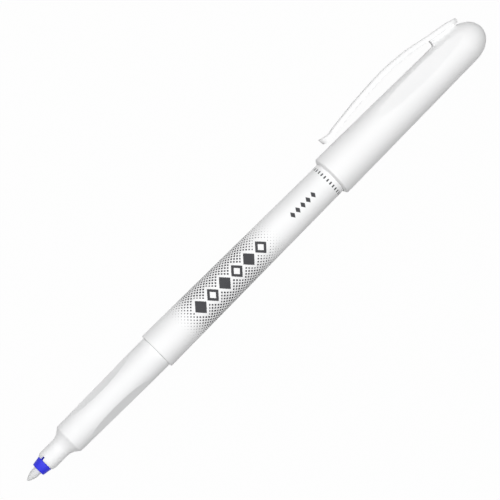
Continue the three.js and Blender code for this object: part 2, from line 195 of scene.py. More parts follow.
def settle(piece):
    """Puts the object at the origin, unturned, with its place in its mesh."""
    select_only(piece)
    bpy.ops.object.transform_apply(location=True, rotation=True, scale=True)


def report(piece):
    size = [round(value / MM, 2) for value in piece.dimensions]
    print(piece.name, "faces:", len(piece.data.polygons), "size in mm:", size)


def turned_piece(name, corners, closed, spacing, steps=TURN_STEPS):
    """Spins a profile of (x, radius) or (x, radius, rounding) corners about the pen's axis."""
    outline = spaced(rounded(corners, closed), closed, spacing)
    deselect_all()
    first_x, first_radius = outline[0]
    start = (nib_tip + first_x * MM, 0, axis_height + first_radius * MM)
    bpy.ops.mesh.primitive_plane_add(size=MM, location=start)
    piece = bpy.context.object
    piece.name = name
    piece.data.name = name
    bpy.ops.object.mode_set(mode="EDIT")
    bpy.ops.mesh.select_mode(type="VERT")
    bpy.ops.mesh.select_all(action="SELECT")
    bpy.ops.mesh.merge(type="CENTER")
    path = outline + outline[:1] if closed else outline
    for (x, radius), (next_x, next_radius) in zip(path, path[1:]):
        move = ((next_x - x) * MM, 0, (next_radius - radius) * MM)
        bpy.ops.mesh.extrude_vertices_move(TRANSFORM_OT_translate={"value": move})
    bpy.ops.mesh.select_all(action="SELECT")
    bpy.ops.mesh.spin(steps=steps, angle=2 * math.pi, center=(0, 0, axis_height), axis=(1, 0, 0))
    bpy.ops.mesh.select_all(action="SELECT")
    bpy.ops.mesh.remove_doubles(threshold=MERGE_DISTANCE)
    bpy.ops.mesh.normals_make_consistent(inside=False)
    bpy.ops.object.mode_set(mode="OBJECT")
    settle(piece)
    return piece


def smooth(piece, angle=SHARP_ANGLE):
    """Shades a finished piece smooth, apart from its sharp edges, and prints its size."""
    select_only(piece)
    bpy.ops.object.shade_smooth_by_angle(angle=angle)
    report(piece)


# %% [markdown]
# The nib is a rod of bonded fibres, ground to a bullet. Its tip is an arc that runs into a parabola,
# and only the first few millimetres show. It could be a cylinder with a cone, but light along the
# curved shoulder is what makes it look like a soft fibre tip, so a formula draws the curve.

# %% Nib
nib_radius = 1.09
nib_tip_rounding = 0.32
nib_ogive_length = 3.1
nib_ogive_lead = 0.22
nib_tip_slope = 36
nib_end_taper = 1.5
ogive_steps = 18
nib_length = from_tip(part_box("nib")[1].x)

nib_outline = quarter(nib_tip_rounding, 0, nib_tip_rounding, nib_tip_rounding, 180, 90 + nib_tip_slope, 6)
nib_outline[0] = (0, 0)
ogive_start = nib_outline[-1][0]
ogive_end = nib_ogive_length - nib_ogive_lead
for step in range(1, ogive_steps + 1):
    nib_x = part_way(ogive_start, ogive_end, step / ogive_steps)
    rest = 1 - (nib_x + nib_ogive_lead) / nib_ogive_length
    nib_outline.append((nib_x, nib_radius * (1 - rest * rest)))
nib_outline += [(nib_length - nib_end_taper, nib_radius), (nib_length, nib_radius / 2), (nib_length, 0)]
nib = turned_piece("nib", nib_outline, closed=False, spacing=2.0, steps=96)
smooth(nib)

# %% [markdown]
# The nib holder is a short blue cone with a softly broken front edge. Behind the lip it runs on as a
# plain shank inside the grip section. Two narrow flutes along the shank let air in as the liquid flows
# out, and a slot in the grip section's lip opens onto each. Flutes are straight and square, so they are
# cut with a small block that stands at the flute's angle.

# %% Nib holder
holder_front_radius = 1.79
holder_rear_radius = 2.15
clearance = 0.05
holder_bore = nib_radius + clearance
holder_end_x = from_tip(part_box("nib_holder")[1].x)
shank_radius = 1.9
flute_width = 0.78
flute_depth = 0.65
flute_count = 2
flute_floor = shank_radius - flute_depth
flute_overrun = 1
flute_block_top = 3
flute_angle = clip_angle - math.radians(56.5)

holder_corners = [
    (holder_x, holder_bore, 0.05),
    (holder_x, holder_front_radius, 0.2),
    (lip_x - clearance, holder_rear_radius, 0.08),
    (lip_x - clearance, shank_radius),
    (holder_end_x, shank_radius, 0.1),
    (holder_end_x, holder_bore),
]
nib_holder = turned_piece("nib_holder", holder_corners, closed=True, spacing=1.5)


def radial_block(start_x, end_x, inner_radius, outer_radius, width, angle):
    """A block that stands out from the pen's axis at an angle round it, for cutting slots."""
    deselect_all()
    middle_radius = (inner_radius + outer_radius) / 2 * MM
    place = (
        nib_tip + (start_x + end_x) / 2 * MM,
        middle_radius * math.sin(angle),
        axis_height + middle_radius * math.cos(angle),
    )
    bpy.ops.mesh.primitive_cube_add(size=1, location=place, rotation=(-angle, 0, 0))
    block = bpy.context.object
    block.scale = ((end_x - start_x) * MM, width * MM, (outer_radius - inner_radius) * MM)
    settle(block)
    return block


def cut(piece, cutter):
    """Cuts a piece with a cutter and removes the cutter."""
    select_only(piece)
    modifier = piece.modifiers.new("cut", "BOOLEAN")
    modifier.operation = "DIFFERENCE"
    modifier.solver = "EXACT"
    modifier.material_mode = "TRANSFER"
    modifier.object = cutter
    bpy.ops.object.modifier_apply(modifier=modifier.name)
    bpy.data.objects.remove(cutter)


def evenly_round(first_angle, count):
    """Angles spread evenly round the axis."""
    return [first_angle + number * 2 * math.pi / count for number in range(count)]


for angle in evenly_round(flute_angle, flute_count):
    block_end_x = holder_end_x + flute_overrun
    cut(nib_holder, radial_block(lip_x, block_end_x, flute_floor, flute_block_top, flute_width, angle))
smooth(nib_holder)

# %% [markdown]
# The grip section is the white piece that the fingers hold. Its nose is rounded at the lip, flares out
# like a trumpet and ends in a crisp shoulder. Behind that the grip widens gently up to the barrel, and
# then steps down to a spigot with a snap bead, which holds it in the barrel.

# %% Grip section
nose_radius = 2.61
nose_length = 5.4
nose_rounding = 1.4
flare_length = 2.83
flare_hollow = 0.18
shoulder_chamfer = 0.2
grip_front_radius = 4.12
grip_rear_radius = 4.475
seat_length = 5.5
spigot_radius = 4.1
spigot_length = 9
bead_distance = 5.5
bead_half_length = 0.6
bead_height = 0.12
core_gap = 0.15
reservoir_bore = 3.36
throat_radius = 2.6

flare_x = lip_x + nose_length
shoulder_x = flare_x + flare_length
ledge_x = from_tip(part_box("reservoir_core")[0].x) - core_gap
bead_x = barrel_x + bead_distance
grip_end_x = barrel_x - clearance
spigot_end_x = barrel_x + spigot_length


def flare_curve(steps):
    """Trumpet curve from the nose out to the shoulder."""
    rise = grip_front_radius - shoulder_chamfer / 4 - nose_radius
    start = Vector((flare_x, nose_radius))
    turn = Vector((flare_x + flare_length / 2, nose_radius + flare_hollow * rise))
    end = Vector((shoulder_x - shoulder_chamfer, nose_radius + rise))
    points = []
    for step in range(steps + 1):
        share = step / steps
        point = start * (1 - share) ** 2 + turn * 2 * share * (1 - share) + end * share**2
        points.append((point.x, point.y))
    return points


nose_rise = nose_radius - holder_rear_radius
grip_corners = [
    (lip_x, shank_radius + clearance),
    *quarter(lip_x + nose_rounding, holder_rear_radius, nose_rounding, nose_rise, 180, 90, 12),
    *flare_curve(14),
    (shoulder_x, grip_front_radius, 0.08),
    (barrel_x - seat_length, grip_rear_radius),
    (grip_end_x, grip_rear_radius, 0.06),
    (grip_end_x, spigot_radius),
    (bead_x - bead_half_length, spigot_radius),
    (bead_x, spigot_radius + bead_height, 0.3),
    (bead_x + bead_half_length, spigot_radius),
    (spigot_end_x, spigot_radius, 0.2),
    (spigot_end_x, reservoir_bore),
    (ledge_x, reservoir_bore),
    (ledge_x, throat_radius),
    (holder_end_x + clearance, throat_radius),
    (holder_end_x + clearance, shank_radius + clearance),
]
grip_section = turned_piece("grip_section", grip_corners, closed=True, spacing=0.8, steps=192)
report(grip_section)

# %% [markdown]
# Three long shallow flats are milled out of the grip. A flat's face is part of a very large cylinder
# lying across the pen, so that is what cuts it. The cutter carries a second material, which the cut
# leaves on the new faces: that finds the edge round each flat, and the edge is marked sharp. The block
# that cut the flutes also cuts a short air slot in the lip above each of them.

# %% Flats and air slots of the grip
scoop_length = 19.3
scoop_depth = 0.39
scoop_distance = 13.85
scoop_count = 3
first_scoop_angle = clip_angle - math.radians(25)
cutter_width = 12
cutter_facets = 1536
slot_length = 0.9
slot_block_top = 4


def scoop_cylinder(centre_x, radius, slope, angle):
    """The big cylinder whose side cuts a long shallow flat into a taper."""
    deselect_all()
    arc_radius = scoop_length * scoop_length / (8 * scoop_depth)
    bpy.ops.mesh.primitive_cylinder_add(
        vertices=cutter_facets,
        radius=arc_radius * MM,
        depth=cutter_width * MM,
        location=(0, 0, (arc_radius - scoop_depth) * MM),
        rotation=(math.pi / 2, 0, 0),
    )
    cylinder = bpy.context.object
    settle(cylinder)
    cylinder.rotation_euler = (0, -math.atan(slope), 0)
    cylinder.location = (0, 0, radius * MM)
    settle(cylinder)
    cylinder.rotation_euler = (-angle, 0, 0)
    cylinder.location = (nib_tip + centre_x * MM, 0, axis_height)
    settle(cylinder)
    return cylinder


grip_slope = (grip_rear_radius - grip_front_radius) / (barrel_x - seat_length - shoulder_x)
scoop_x = shoulder_x + scoop_distance
scoop_surface = grip_front_radius + grip_slope * scoop_distance
cut_material = bpy.data.materials.new("milled")
grip_section.data.materials.append(bpy.data.materials.new("uncut"))
for angle in evenly_round(first_scoop_angle, scoop_count):
    cutter = scoop_cylinder(scoop_x, scoop_surface, grip_slope, angle)
    cutter.data.materials.append(cut_material)
    cut(grip_section, cutter)
for angle in evenly_round(flute_angle, flute_count):
    slot_end_x = lip_x + slot_length
    start_x = lip_x - flute_overrun
    cut(grip_section, radial_block(start_x, slot_end_x, flute_floor, slot_block_top, flute_width, angle))

smooth(grip_section)
select_only(grip_section)
bpy.ops.object.mode_set(mode="EDIT")
bpy.ops.mesh.select_mode(type="FACE")
bpy.ops.mesh.select_all(action="DESELECT")
grip_section.active_material_index = grip_section.data.materials.find("milled")
bpy.ops.object.material_slot_select()
bpy.ops.mesh.region_to_loop()
bpy.ops.mesh.mark_sharp()
bpy.ops.object.mode_set(mode="OBJECT")

# %% [markdown]
# The barrel is a tapered tube with a closed tail. Its front edge stands a little proud of the grip, and
# the small rounding there catches a line of light. The tail has a soft edge and the shallow dimple that
# the mould's gate leaves.

# %% Barrel
barrel_step = 0.62
barrel_wall = 0.9
posted_radius = 4.465
tail_wall = 1.2
gate_radius = 0.9
gate_depth = 0.12
groove_depth = 0.16
groove_half_length = 1.2
groove_half_floor = 0.4
socket_clearance = 0.08
barrel_front_radius = grip_rear_radius + barrel_step
socket_radius = spigot_radius + socket_clearance


def barrel_radius_at(x):
    return part_way(barrel_front_radius, posted_radius, (x - barrel_x) / (mouth_x - barrel_x))


tail_floor_x = tail_x - tail_wall
barrel_corners = [
    (tail_x - gate_depth, 0),
    (tail_x - gate_depth, gate_radius, 0.05),
    (tail_x, gate_radius + gate_depth, 0.05),
    (tail_x, barrel_radius_at(tail_x), 1.0),
    (barrel_x, barrel_front_radius, 0.2),
    (barrel_x, socket_radius, 0.08),
    (bead_x - groove_half_length, socket_radius),
    (bead_x - groove_half_floor, socket_radius + groove_depth),
    (bead_x + groove_half_floor, socket_radius + groove_depth),
    (bead_x + groove_half_length, socket_radius),
    (spigot_end_x + clearance, socket_radius),
    (spigot_end_x + clearance, barrel_radius_at(spigot_end_x) - barrel_wall),
    (tail_floor_x, barrel_radius_at(tail_floor_x) - barrel_wall, 0.4),
    (tail_floor_x, 0),
]
barrel = turned_piece("barrel", barrel_corners, closed=False, spacing=2.0)
smooth(barrel)

# %% [markdown]
# The cap is a tapered shell with a domed end. Its mouth is a plain ring, the widest place of the pen,
# with a short steep cone at the front whose edges are rounded. Inside, the bore grips the barrel's tail
# up to the inner cap, and behind that the shell is hollow.

# %% Cap
cap_mouth_radius = axis_height / MM
cap_clearance = 0.11
cap_bore_radius = grip_rear_radius + cap_clearance
cap_bore_draft = 0.0094
cap_rear_radius = 5.02
cap_wall = 1.04
rest_ring_length = 3.2
rim_length = 0.5
rim_height = 0.85
rim_rounding = 0.35
dome_length = 6.4
dome_wall = 1.3
hollow_dome_length = 3.0
gate_narrowing = 0.6
flange_length = 0.9
liner_shoulder = liner_x - mouth_x + flange_length + clearance
dome_start_x = dome_x - dome_length
hollow_radius = cap_rear_radius - cap_wall
hollow_dome_x = dome_x - dome_wall - hollow_dome_length

gate_angle = math.degrees(math.asin((gate_radius * gate_narrowing + 0.1) / cap_rear_radius))
cap_corners = [
    (dome_x - gate_depth, 0),
    (dome_x - gate_depth, gate_radius * gate_narrowing),
    *quarter(dome_start_x, 0, dome_length, cap_rear_radius, gate_angle, 90, 30),
    (mouth_x + rest_ring_length, cap_mouth_radius),
    (mouth_x + rim_length, cap_mouth_radius, rim_rounding),
    (mouth_x, cap_mouth_radius - rim_height, 0.12),
    (mouth_x, cap_bore_radius, 0.06),
    (mouth_x + liner_shoulder, cap_bore_radius - cap_bore_draft * liner_shoulder),
    (mouth_x + liner_shoulder, hollow_radius),
    *quarter(hollow_dome_x, 0, hollow_dome_length, hollow_radius, 90, 0, 10),
]
cap_corners[-1] = (hollow_dome_x + hollow_dome_length, 0)
cap = turned_piece("cap", cap_corners, closed=False, spacing=0.6, steps=224)
report(cap)

# %% [markdown]
# Two long flats are pressed softly into the cap, one on each side of the clip. Their edges fade out,
# where a boolean cut would leave a hard rim, so the corners of the mesh are moved instead. Each corner of
# the outside is measured from the axis, and takes the lower of the round surface and the flat one. Where
# the two are close they are blended, which is called a smooth minimum.

# %% Pressing the cap's flats
oval_length = 29.8
oval_depth = 0.46
oval_distance = 33.15
oval_softness = 0.07
oval_from_clip = math.radians(61)
oval_reach = math.radians(60)
oval_run = 0.7 * oval_length
outside_share = 0.9


def cap_taper_at(depth):
    share = (depth - rest_ring_length) / (dome_start_x - mouth_x - rest_ring_length)
    return part_way(cap_mouth_radius, cap_rear_radius, share)


def smooth_lower(first, second, softness):
    """The lower of two values, blended where they are close."""
    share = max(0.0, min(1.0, 0.5 + 0.5 * (second - first) / softness))
    return second + (first - second) * share - softness * share * (1 - share)


def press_flat(piece, angle):
    """Presses a flat at an angle round the axis, and counts the corners that move."""
    arc_radius = oval_length * oval_length / (8 * oval_depth)
    moved = 0
    for vertex in piece.data.vertices:
        depth = from_tip(vertex.co.x) - mouth_x
        up = vertex.co.z - axis_height
        radius = math.hypot(vertex.co.y, up) / MM
        if radius < outside_share * cap_taper_at(depth) or abs(depth - oval_distance) > oval_run:
            continue
        away = math.atan2(vertex.co.y, up) - angle
        away = math.atan2(math.sin(away), math.cos(away))
        if abs(away) > oval_reach:
            continue
        sink = oval_depth - (depth - oval_distance) ** 2 / (2 * arc_radius)
        flat = (cap_taper_at(depth) - sink) / math.cos(away)
        pressed = smooth_lower(radius, flat, oval_softness)
        vertex.co.y *= pressed / radius
        vertex.co.z = axis_height + up * pressed / radius
        moved += pressed < radius - 0.001
    return moved


for side in (-1, 1):
    print("corners pressed:", press_flat(cap, clip_angle + side * oval_from_clip))
smooth(cap)

# %% [markdown]
# The clip is a springy strip, moulded in one with the cap on a short web. A strip like this is a loft:
# one rounded section carried along a curve, wider and a little thinner at the root than at the foot.
# The first section is drawn with a circle, and then pulled out section by section. Each pull is an
# extrude, after which the new corners are set on the next section.

# %% Lofting helper
def loft(name, sections):
    """Pulls a ring of corners through sections, each as many (x, y, z) points in millimetres."""
    deselect_all()
    count = len(sections[0])
    bpy.ops.mesh.primitive_circle_add(vertices=count, radius=MM)
    piece = bpy.context.object
    piece.name = name
    piece.data.name = name
    bpy.ops.object.mode_set(mode="EDIT")
    bpy.ops.mesh.select_all(action="SELECT")
    mesh = bmesh.from_edit_mesh(piece.data)
    place = mesh.verts.layers.int.new("place")
    mesh.verts.ensure_lookup_table()
    for number in range(count):
        mesh.verts[number][place] = number
        mesh.verts[number].co = Vector(sections[0][number]) * MM
    bmesh.update_edit_mesh(piece.data)
    bpy.ops.mesh.edge_face_add()
    for section in sections[1:]:
        bpy.ops.mesh.extrude_region_move()
        mesh = bmesh.from_edit_mesh(piece.data)
        place = mesh.verts.layers.int["place"]
        for vertex in mesh.verts:
            if vertex.select:
                vertex.co = Vector(section[vertex[place]]) * MM
        bmesh.update_edit_mesh(piece.data)
    bpy.ops.mesh.select_all(action="SELECT")
    bpy.ops.mesh.normals_make_consistent(inside=False)
    bpy.ops.object.mode_set(mode="OBJECT")
    piece.data.attributes.remove(piece.data.attributes["place"])
    return piece


fullest_rounding = 0.98


def section_outline(half_width, half_height, upper, lower, crown, steps=5, across_steps=6):
    """(across, up) points of a rectangle with a crowned top, and its own upper and lower roundings."""
    points = []
    for side, lift, first in ((1, 1, 0), (-1, 1, 90), (-1, -1, 180), (1, -1, 270)):
        rounding = min(upper if lift > 0 else lower, fullest_rounding * min(half_height, half_width))
        for step in range(steps + 1):
            angle = math.radians(first + 90 * step / steps)
            across = side * (half_width - rounding) + rounding * math.cos(angle)
            points.append((across, lift * (half_height - rounding) + rounding * math.sin(angle)))
        if first in (0, 180):
            run = 2 * (half_width - rounding)
            for step in range(1, across_steps):
                across = side * (half_width - rounding) - side * run * step / across_steps
                points.append((across, lift * half_height))
    return [(across, up + crown * (1 - (across / half_width) ** 2) * (up > 0)) for across, up in points]


# %% [markdown]
# The clip's side view is a curve through a few measured gaps: close to the cap at the foot, widest just
# behind the middle, and back onto the cap at the root. The foot ends in a slanted tip that flares up,
# so that a pocket's edge slides under it, and a flat pad presses on the cloth.

# %% Clip's side view
foot_distance = 4.35
root_distance = 3.9
foot_half_width = 2.1
root_half_width = 2.5
foot_thickness = 1.38
crest_thickness = 1.5
root_thickness = 1.22
foot_gap = 0.97
crest_gap = 2.86
tip_bevel = 0.2
tip_lift = 0.37
tip_flare = 0.6
flare_run = 3.2
pad_distance = 1.05
pad_length = 2.2
foot_corner = 1.8
root_corner = 2.4
top_rounding = 0.55
under_rounding = 0.16
foot_rounding = 0.16
root_rounding = 0.6
top_crown = 0.07
gap_stations = [
    (0.118, 0.479), (0.251, 0.723), (0.317, 0.833), (0.517, 1.0),
    (0.684, 0.867), (0.818, 0.513), (0.952, 0.2), (1.0, 0.0),
]

root_depth = dome_x - mouth_x - root_distance
pad_start = foot_distance + pad_distance
pad_end = pad_start + pad_length
pad_height = cap_taper_at(pad_end) + foot_gap


def smooth_curve(points, steps):
    """Points on a curve that runs smoothly through the given ones."""
    ends = [points[0] * 2 - points[1], *points, points[-1] * 2 - points[-2]]
    result = []
    for before, start, end, after in zip(ends, ends[1:], ends[2:], ends[3:]):
        for step in range(steps):
            share = step / steps
            straight = 2 * start + (end - before) * share
            bend = (2 * before - 5 * start + 4 * end - after) * share**2
            twist = (3 * start - before - 3 * end + after) * share**3
            result.append(0.5 * (straight + bend + twist))
    return result + [points[-1]]


def strip_thickness(depth):
    """The strip is thickest half way between the pad and the root."""
    crest = (pad_end + root_depth) / 2
    if depth < crest:
        return part_way(foot_thickness, crest_thickness, max(0, depth - pad_end) / (crest - pad_end))
    return part_way(crest_thickness, root_thickness, (depth - crest) / (root_depth - crest))


def strip_half_width(depth):
    """The strip widens evenly between the rounded corners of its plan."""
    start = foot_distance + foot_corner
    end = root_end_x - root_corner
    return part_way(foot_half_width, root_half_width, (depth - start) / (end - start))


def fading(x, start, run):
    """From 1 at the start to 0 after the run, with a soft end."""
    return max(0.0, 1 - (x - start) / run) ** 2


span = root_depth - foot_distance
stations = [Vector((pad_start, pad_height)), Vector((pad_end, pad_height))]
for share, gap_share in gap_stations:
    depth = foot_distance + share * span
    stations.append(Vector((depth, cap_taper_at(depth) + gap_share * crest_gap)))
underside = smooth_curve(stations, 8)
print("clip root at", round(root_depth, 2), "mm, crest", round(max(p.y for p in underside), 2), "mm up")

# %% [markdown]
# Each section stands square to that curve, but the first ones lean, because the foot's end face is cut
# at a slant. Both ends are closed with a few sections that draw in, so that no edge is left hard. Seen
# from above, both ends are nearly half round: each section near an end is as wide as that curve allows.

# %% Clip strip
tip_steps = 8
end_closing = 0.96


def strip_rows():
    """(low point, high point) of each section in the side view, from the foot to the root."""
    tip_low = foot_distance + tip_bevel + foot_rounding
    tip_high = foot_distance + foot_rounding
    rows = []
    for step in range(tip_steps):
        share = (step / tip_steps) ** 1.5
        low = Vector((part_way(tip_low, pad_start, share), pad_height))
        high = Vector((part_way(tip_high, pad_start, share), pad_height + foot_thickness))
        rows.append((low, high))
    last = underside[-1] * 2 - underside[-2]
    for before, point, after in zip([rows[-1][0], *underside], underside, [*underside[1:], last]):
        along = (after - before).normalized()
        normal = Vector((-along.y, along.x))
        rows.append((point.copy(), point + normal * strip_thickness(point.x)))
    for low, high in rows:
        low.y += tip_lift * fading(low.x, tip_low, 2 * (pad_start - tip_low))
        high.y += tip_flare * fading(high.x, tip_high, flare_run)
    return rows


def end_rows(low, high, rounding, direction, steps):
    """Rows that draw in beyond an end of the strip, from the highest to the lowest."""
    up = (high - low).normalized()
    along = Vector((up.y, -up.x)) * direction
    rows = []
    for step in range(1, steps + 1):
        angle = math.radians(90 * step / steps)
        inset = up * rounding * (1 - math.cos(angle)) * end_closing
        push = along * rounding * math.sin(angle)
        rows.append((low + inset + push, high - inset + push))
    return rows


def corner_cut(from_end, radius):
    """How much a corner of this radius takes off the half width, at a distance from the end."""
    inside = max(0.0, radius - max(0.0, from_end))
    return radius - math.sqrt(radius**2 - inside**2)


def strip_ring(low, high):
    """The corners of one section, between two points of the side view."""
    middle = (low + high) / 2
    up = (high - low).normalized()
    half_height = (high - low).length / 2
    half_width = strip_half_width(middle.x)
    half_width -= corner_cut(middle.x - foot_end_x, foot_corner)
    half_width -= corner_cut(root_end_x - middle.x, root_corner)
    crown = top_crown * min(1.0, 2 * half_height / foot_thickness)
    ring = []
    for across, height in section_outline(half_width, half_height, top_rounding, under_rounding, crown):
        point = middle + up * height
        ring.append((point.x, across, point.y))
    return ring


rows = strip_rows()
foot_rows = end_rows(*rows[0], foot_rounding, -1, 6)
root_rows = end_rows(*rows[-1], root_rounding, 1, 8)
rows = [*reversed(foot_rows), *rows, *root_rows]
foot_end_x = (rows[0][0].x + rows[0][1].x) / 2
root_end_x = (rows[-1][0].x + rows[-1][1].x) / 2
clip = loft("clip", [strip_ring(low, high) for low, high in rows])
report(clip)

# %% [markdown]
# The web under the root is a wedge, a little narrower than the strip, whose end stands out over it. The
# web thins towards a flat front wall, and its sides run down onto the cap in a wide hollow. It is lofted
# upwards: each ring knows its height over the cap's curved surface or its distance below the strip.

# %% Clip web
web_length = 7.17
web_overhang = 1.45
web_half_width = 2.0
web_front_share = 0.47
web_widening = 4.0
web_front_corner = 0.2
web_rear_corner = 0.4
side_hollow = 0.85
front_hollow = 0.5
rear_hollow_share = 0.25
strip_hollow = 0.1
web_sink = 0.35

web_end = root_end_x - web_overhang
web_start = web_end - web_length


def cap_outside_at(depth):
    """Radius of the cap, on its taper or on its dome."""
    into_dome = depth - (dome_start_x - mouth_x)
    if into_dome <= 0:
        return cap_taper_at(depth)
    return cap_rear_radius * math.sqrt(max(0.0, 1 - (into_dome / dome_length) ** 2))


def underside_at(depth):
    for start, end in zip(underside, underside[1:]):
        if end.x >= depth:
            return part_way(start.y, end.y, (depth - start.x) / (end.x - start.x))
    return underside[-1].y


def web_plan(side_spread, front_spread):
    """(depth, across) outline of the web seen from above, spread outwards at its sides and ends."""
    rear_spread = front_spread * rear_hollow_share
    front_round = web_front_corner + front_spread
    rear_round = web_rear_corner + rear_spread
    front_x = web_start - front_spread + front_round
    rear_x = web_end + rear_spread - rear_round
    half_width = web_half_width + side_spread
    half = quarter(rear_x, half_width - rear_round, rear_round, rear_round, 0, 90, 10)
    for step in range(1, 12):
        half.append((part_way(rear_x, front_x, step / 12), half_width))
    half += quarter(front_x, half_width - front_round, front_round, front_round, 90, 180, 6)
    for step in (1, 2):
        half.append((front_x - front_round, (half_width - front_round) * (1 - step / 3)))
    narrowing = (1 - web_front_share) * (1 - side_spread / side_hollow)
    outline = []
    for depth, across in half + [(depth, -across) for depth, across in reversed(half)]:
        from_rear = max(0.0, 1 - (depth - web_start) / web_widening)
        outline.append((depth, across * (1 - narrowing * from_rear)))
    return outline


def ring_on_cap(side_spread, front_spread, lift):
    """The web's outline at a height over the cap's curved surface."""
    ring = []
    for depth, across in web_plan(side_spread, front_spread):
        ring.append((depth, across, math.sqrt(cap_outside_at(depth) ** 2 - across**2) + lift))
    return ring


def ring_under_strip(spread, drop):
    """The web's outline at a distance below the strip."""
    return [(depth, across, underside_at(depth) - drop) for depth, across in web_plan(spread, spread)]


def hollow_curve(steps):
    """(outwards, up) shares along a quarter hollow, from its foot to the wall that it runs into."""
    angles = [math.radians(90 * step / steps) for step in range(steps + 1)]
    return [(1 - math.sin(angle), 1 - math.cos(angle)) for angle in angles]


web_rings = [ring_on_cap(side_hollow, front_hollow, -web_sink)]
for outwards, up in hollow_curve(8):
    web_rings.append(ring_on_cap(side_hollow * outwards, front_hollow * outwards, side_hollow * up))
for outwards, up in reversed(hollow_curve(4)):
    web_rings.append(ring_under_strip(strip_hollow * outwards, strip_hollow * up))
web_rings.append(ring_under_strip(strip_hollow, -web_sink))
web = loft("web", web_rings)
report(web)

# %% [markdown]
# The strip and its web are one moulding, so they become one mesh. Both were drawn upright over the
# axis, and now turn together to the clip's place on the cap.

# %% Clip in place
select_only(clip)
web.select_set(True)
bpy.ops.object.join()
clip.location = (nib_tip + mouth_x * MM, 0, axis_height)
clip.rotation_euler = (-clip_angle, 0, 0)
settle(clip)
smooth(clip, math.radians(50))

# %% [markdown]
# Inside the cap sits a small liner, a second cap that seals round the nose when the pen is closed. It
# shows only when the cap comes off, as a flange deep in the mouth.

# %% Inner cap
liner_wall = 0.7
flange_clearance = 0.14
liner_bore = nose_radius + clearance
liner_radius = liner_bore + liner_wall
flange_radius = cap_bore_radius - cap_bore_draft * (liner_x - mouth_x) - flange_clearance
liner_corners = [
    (liner_end_x, 0),
    (liner_end_x, liner_radius, 0.4),
    (liner_x + flange_length, liner_radius, 0.15),
    (liner_x + flange_length, flange_radius, 0.1),
    (liner_x, flange_radius, 0.15),
    (liner_x, liner_bore, 0.3),
    (liner_end_x - liner_wall, liner_bore, 0.4),
    (liner_end_x - liner_wall, 0),
]
inner_cap = turned_piece("inner_cap", liner_corners, closed=False, spacing=2, steps=96)
smooth(inner_cap)

# %% [markdown]
# The finishes come next. Every material is built from nodes that read the place on the object, so that a
# finish keeps its real size in millimetres from every side. These small helpers add nodes and join them.
# What comes out of a node knows its own node tree, and that is where the next node goes.

# %% Node helpers
def connect(value, socket):
    """Joins an output to an input, or sets a plain value on the input."""
    if isinstance(value, bpy.types.NodeSocket):
        socket.id_data.links.new(value, socket)
    else:
        socket.default_value = value


def fill(node, inputs):
    """Joins or sets a node's inputs, given as {name or place: value}."""
    for name, value in inputs.items():
        connect(value, node.inputs[name])


def add_node(tree, kind, inputs, **settings):
    node = tree.nodes.new(kind)
    for name, value in settings.items():
        setattr(node, name, value)
    fill(node, inputs)
    return node


def tree_of(*values):
    """The node tree of the first value that comes out of a node."""
    return next(value.id_data for value in values if isinstance(value, bpy.types.NodeSocket))


def calculate(operation, *values):
    inputs = dict(enumerate(values))
    return add_node(tree_of(*values), "ShaderNodeMath", inputs, operation=operation).outputs["Value"]


def stretched(vector, factors):
    """A place with each of its directions multiplied by a factor."""
    node = add_node(vector.id_data, "ShaderNodeVectorMath", {0: vector, 1: factors}, operation="MULTIPLY")
    return node.outputs["Vector"]


def noise(vector, scale, detail):
    inputs = {"Vector": vector, "Scale": scale, "Detail": detail}
    return add_node(vector.id_data, "ShaderNodeTexNoise", inputs).outputs["Fac"]


def remap(value, low, high, to_low=0.0, to_high=1.0, interpolation="SMOOTHSTEP"):
    """Carries a value from one range to another, with soft ends."""
    inputs = {"Value": value, "From Min": low, "From Max": high, "To Min": to_low, "To Max": to_high}
    node = add_node(value.id_data, "ShaderNodeMapRange", inputs, interpolation_type=interpolation)
    return node.outputs["Result"]


def mixed(share, first, second):
    """A colour between two colours."""
    inputs = {"Factor": share, 6: first, 7: second}
    return add_node(share.id_data, "ShaderNodeMix", inputs, data_type="RGBA").outputs[2]


def use_group(group, **inputs):
    return add_node(tree_of(*inputs.values()), "ShaderNodeGroup", inputs, node_tree=group).outputs


def new_group(name, inputs, outputs):
    """An empty node group with named sockets, of which only a place is a vector."""
    group = bpy.data.node_groups.new(name, "ShaderNodeTree")
    for in_out, socket_names in (("INPUT", inputs), ("OUTPUT", outputs)):
        for socket_name in socket_names:
            kind = "NodeSocketVector" if socket_name == "Place" else "NodeSocketFloat"
            group.interface.new_socket(socket_name, in_out=in_out, socket_type=kind)
    given = add_node(group, "NodeGroupInput", {}).outputs
    result = add_node(group, "NodeGroupOutput", {}).inputs
    return group, given, result


# %% [markdown]
# Millimetres are handier than metres for a finish. This group turns a place on the object into two pen
# coordinates: how far it lies along the pen from the nib, and the angle round the axis from the side that
# faces the camera.

# %% Pen coordinates group
def make_pen_coordinates():
    group, given, result = new_group("pen coordinates", ["Place"], ["Along", "Around"])
    x, y, z = add_node(group, "ShaderNodeSeparateXYZ", {0: given["Place"]}).outputs
    angle = calculate("ARCTAN2", y, calculate("SUBTRACT", z, axis_height))
    turned = calculate("SUBTRACT", angle, facing_angle)
    connect(calculate("DIVIDE", calculate("SUBTRACT", x, nib_tip), MM), result["Along"])
    connect(calculate("WRAP", turned, math.pi, -math.pi), result["Around"])
    return group


pen_coordinates = make_pen_coordinates()

# %% [markdown]
# Moulded plastic is never perfectly flat. The mould's finish leaves a fine grain, and the plastic shrinks
# a little unevenly as it cools, which bends reflections very slightly. Handling then adds hairline
# scratches, mostly along the pen, and faint smudges that change the gloss. Both are groups, because every
# plastic piece of the pen shares them in its own strength.

# %% Skin and wear groups
grain_scale = 5.5
wave_scale = 0.22
wave_stretch = (0.35, 1, 1)
hairline_stretch = (0.12, 1.7, 1.7)
hairline_width = 0.006
scratched_scale = 0.35
smudge_scale = 0.16


def in_millimetres(place):
    return stretched(place, (1 / MM, 1 / MM, 1 / MM))


